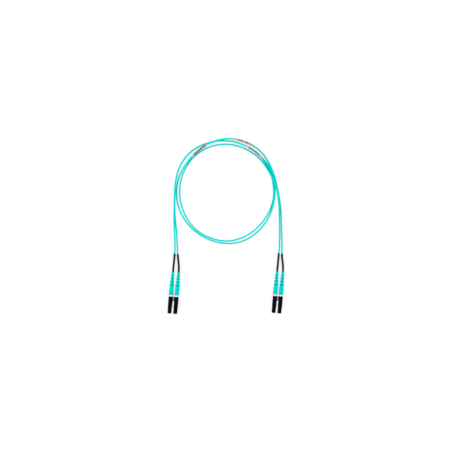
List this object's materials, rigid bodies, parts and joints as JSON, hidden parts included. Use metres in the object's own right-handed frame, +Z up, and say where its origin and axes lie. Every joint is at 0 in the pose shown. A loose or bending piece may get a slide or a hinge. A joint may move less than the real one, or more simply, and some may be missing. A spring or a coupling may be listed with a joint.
{
  "type": "fiber optic patch cord",
  "caption": "Duplex fiber optic patch cord with clipped LC plugs, latches, spring-loaded ferrules, dust caps, aqua boots and strands, lying in a loose round loop.",
  "frame": {"origin": "middle of the rectangle that the two duplex plug ends cover, on the surface that the cord lies on", "axes": "+X from the first plug end to the second, +Y from the plugs towards the loop, +Z up, on the latch side of the plugs"},
  "size_m": [0.1258, 0.1894, 0.0086],
  "materials": {
    "aqua_jacket": "satin",
    "aqua_boot": "satin",
    "black_plastic": "satin",
    "black_cap": "satin",
    "white_plastic": "satin",
    "shrink_sleeve": "matte",
    "label_film": "gloss",
    "zirconia": "polished",
    "steel": "brushed",
    "plated_brass": "satin",
    "buffer_white": "gloss"
  },
  "bodies": {
    "root": {"clip_a": "white_plastic", "clip_b": "white_plastic", "strand_1": "aqua_jacket", "strand_2": "aqua_jacket", "label_1": "label_film", "label_2": "label_film", "label_3": "label_film", "housing_a1": "black_plastic", "back_post_a1": "steel", "crimp_ring_a1": "plated_brass", "boot_a1": "aqua_boot", "sleeve_a1": "shrink_sleeve", "spring_a1": "steel", "housing_a2": "black_plastic", "back_post_a2": "steel", "crimp_ring_a2": "plated_brass", "boot_a2": "aqua_boot", "sleeve_a2": "shrink_sleeve", "spring_a2": "steel", "housing_b1": "black_plastic", "back_post_b1": "steel", "crimp_ring_b1": "plated_brass", "boot_b1": "aqua_boot", "sleeve_b1": "shrink_sleeve", "spring_b1": "steel", "housing_b2": "black_plastic", "back_post_b2": "steel", "crimp_ring_b2": "plated_brass", "boot_b2": "aqua_boot", "sleeve_b2": "shrink_sleeve", "spring_b2": "steel"},
    "ferrule_a1": {"ferrule_a1": "zirconia", "ferrule_holder_a1": "steel", "buffer_fibre_a1": "buffer_white"},
    "latch_a1": {"latch_a1": "black_plastic"},
    "trigger_a1": {"trigger_a1": "black_plastic"},
    "dust_cap_a1": {"dust_cap_a1": "black_cap"},
    "ferrule_a2": {"ferrule_a2": "zirconia", "ferrule_holder_a2": "steel", "buffer_fibre_a2": "buffer_white"},
    "latch_a2": {"latch_a2": "black_plastic"},
    "trigger_a2": {"trigger_a2": "black_plastic"},
    "dust_cap_a2": {"dust_cap_a2": "black_cap"},
    "ferrule_b1": {"ferrule_b1": "zirconia", "ferrule_holder_b1": "steel", "buffer_fibre_b1": "buffer_white"},
    "latch_b1": {"latch_b1": "black_plastic"},
    "trigger_b1": {"trigger_b1": "black_plastic"},
    "dust_cap_b1": {"dust_cap_b1": "black_cap"},
    "ferrule_b2": {"ferrule_b2": "zirconia", "ferrule_holder_b2": "steel", "buffer_fibre_b2": "buffer_white"},
    "latch_b2": {"latch_b2": "black_plastic"},
    "trigger_b2": {"trigger_b2": "black_plastic"},
    "dust_cap_b2": {"dust_cap_b2": "black_cap"}
  },
  "joints": [
    {"name": "ferrule_slide_a1", "type": "slide", "parent": "root", "child": "ferrule_a1", "axis": [0.0872, 0.9962, 0], "range_m": [0, 0.0009], "stiffness_N_per_m": 1600, "springref_m": -0.0028, "deforming": ["spring_a1"]},
    {"name": "latch_hinge_a1", "type": "hinge", "parent": "root", "child": "latch_a1", "pos_m": [-0.0602, -0.02353, 0.00585], "axis": [-0.9962, 0.0872, 0], "range_deg": [0, 7]},
    {"name": "trigger_hinge_a1", "type": "hinge", "parent": "root", "child": "trigger_a1", "pos_m": [-0.0594, -0.01442, 0.0058], "axis": [0.9962, -0.0872, 0], "range_deg": [0, 15], "stiffness_Nm_per_rad": 0.056},
    {"name": "dust_cap_pull_a1", "type": "slide", "parent": "root", "child": "dust_cap_a1", "axis": [-0.0872, -0.9962, 0], "range_m": [0, 0.012]},
    {"name": "ferrule_slide_a2", "type": "slide", "parent": "root", "child": "ferrule_a2", "axis": [0.0872, 0.9962, 0], "range_m": [0, 0.0009], "stiffness_N_per_m": 1600, "springref_m": -0.0028, "deforming": ["spring_a2"]},
    {"name": "latch_hinge_a2", "type": "hinge", "parent": "root", "child": "latch_a2", "pos_m": [-0.05398, -0.02408, 0.00585], "axis": [-0.9962, 0.0872, 0], "range_deg": [0, 7]},
    {"name": "trigger_hinge_a2", "type": "hinge", "parent": "root", "child": "trigger_a2", "pos_m": [-0.05318, -0.01496, 0.0058], "axis": [0.9962, -0.0872, 0], "range_deg": [0, 15], "stiffness_Nm_per_rad": 0.056},
    {"name": "dust_cap_pull_a2", "type": "slide", "parent": "root", "child": "dust_cap_a2", "axis": [-0.0872, -0.9962, 0], "range_m": [0, 0.012]},
    {"name": "ferrule_slide_b1", "type": "slide", "parent": "root", "child": "ferrule_b1", "axis": [0.0872, 0.9962, 0], "range_m": [0, 0.0009], "stiffness_N_per_m": 1600, "springref_m": -0.0028, "deforming": ["spring_b1"]},
    {"name": "latch_hinge_b1", "type": "hinge", "parent": "root", "child": "latch_b1", "pos_m": [0.0518, -0.02298, 0.00585], "axis": [-0.9962, 0.0872, 0], "range_deg": [0, 7]},
    {"name": "trigger_hinge_b1", "type": "hinge", "parent": "root", "child": "trigger_b1", "pos_m": [0.0526, -0.01387, 0.0058], "axis": [0.9962, -0.0872, 0], "range_deg": [0, 15], "stiffness_Nm_per_rad": 0.056},
    {"name": "dust_cap_pull_b1", "type": "slide", "parent": "root", "child": "dust_cap_b1", "axis": [-0.0872, -0.9962, 0], "range_m": [0, 0.012]},
    {"name": "ferrule_slide_b2", "type": "slide", "parent": "root", "child": "ferrule_b2", "axis": [0.0872, 0.9962, 0], "range_m": [0, 0.0009], "stiffness_N_per_m": 1600, "springref_m": -0.0028, "deforming": ["spring_b2"]},
    {"name": "latch_hinge_b2", "type": "hinge", "parent": "root", "child": "latch_b2", "pos_m": [0.05802, -0.02353, 0.00585], "axis": [-0.9962, 0.0872, 0], "range_deg": [0, 7]},
    {"name": "trigger_hinge_b2", "type": "hinge", "parent": "root", "child": "trigger_b2", "pos_m": [0.05882, -0.01441, 0.0058], "axis": [0.9962, -0.0872, 0], "range_deg": [0, 15], "stiffness_Nm_per_rad": 0.056},
    {"name": "dust_cap_pull_b2", "type": "slide", "parent": "root", "child": "dust_cap_b2", "axis": [-0.0872, -0.9962, 0], "range_m": [0, 0.012]}
  ],
  "couplings": [
    {"joint": "latch_hinge_a1", "follows": "trigger_hinge_a1", "ratio": 0.46667},
    {"joint": "latch_hinge_a2", "follows": "trigger_hinge_a2", "ratio": 0.46667},
    {"joint": "latch_hinge_b1", "follows": "trigger_hinge_b1", "ratio": 0.46667},
    {"joint": "latch_hinge_b2", "follows": "trigger_hinge_b2", "ratio": 0.46667}
  ]
}
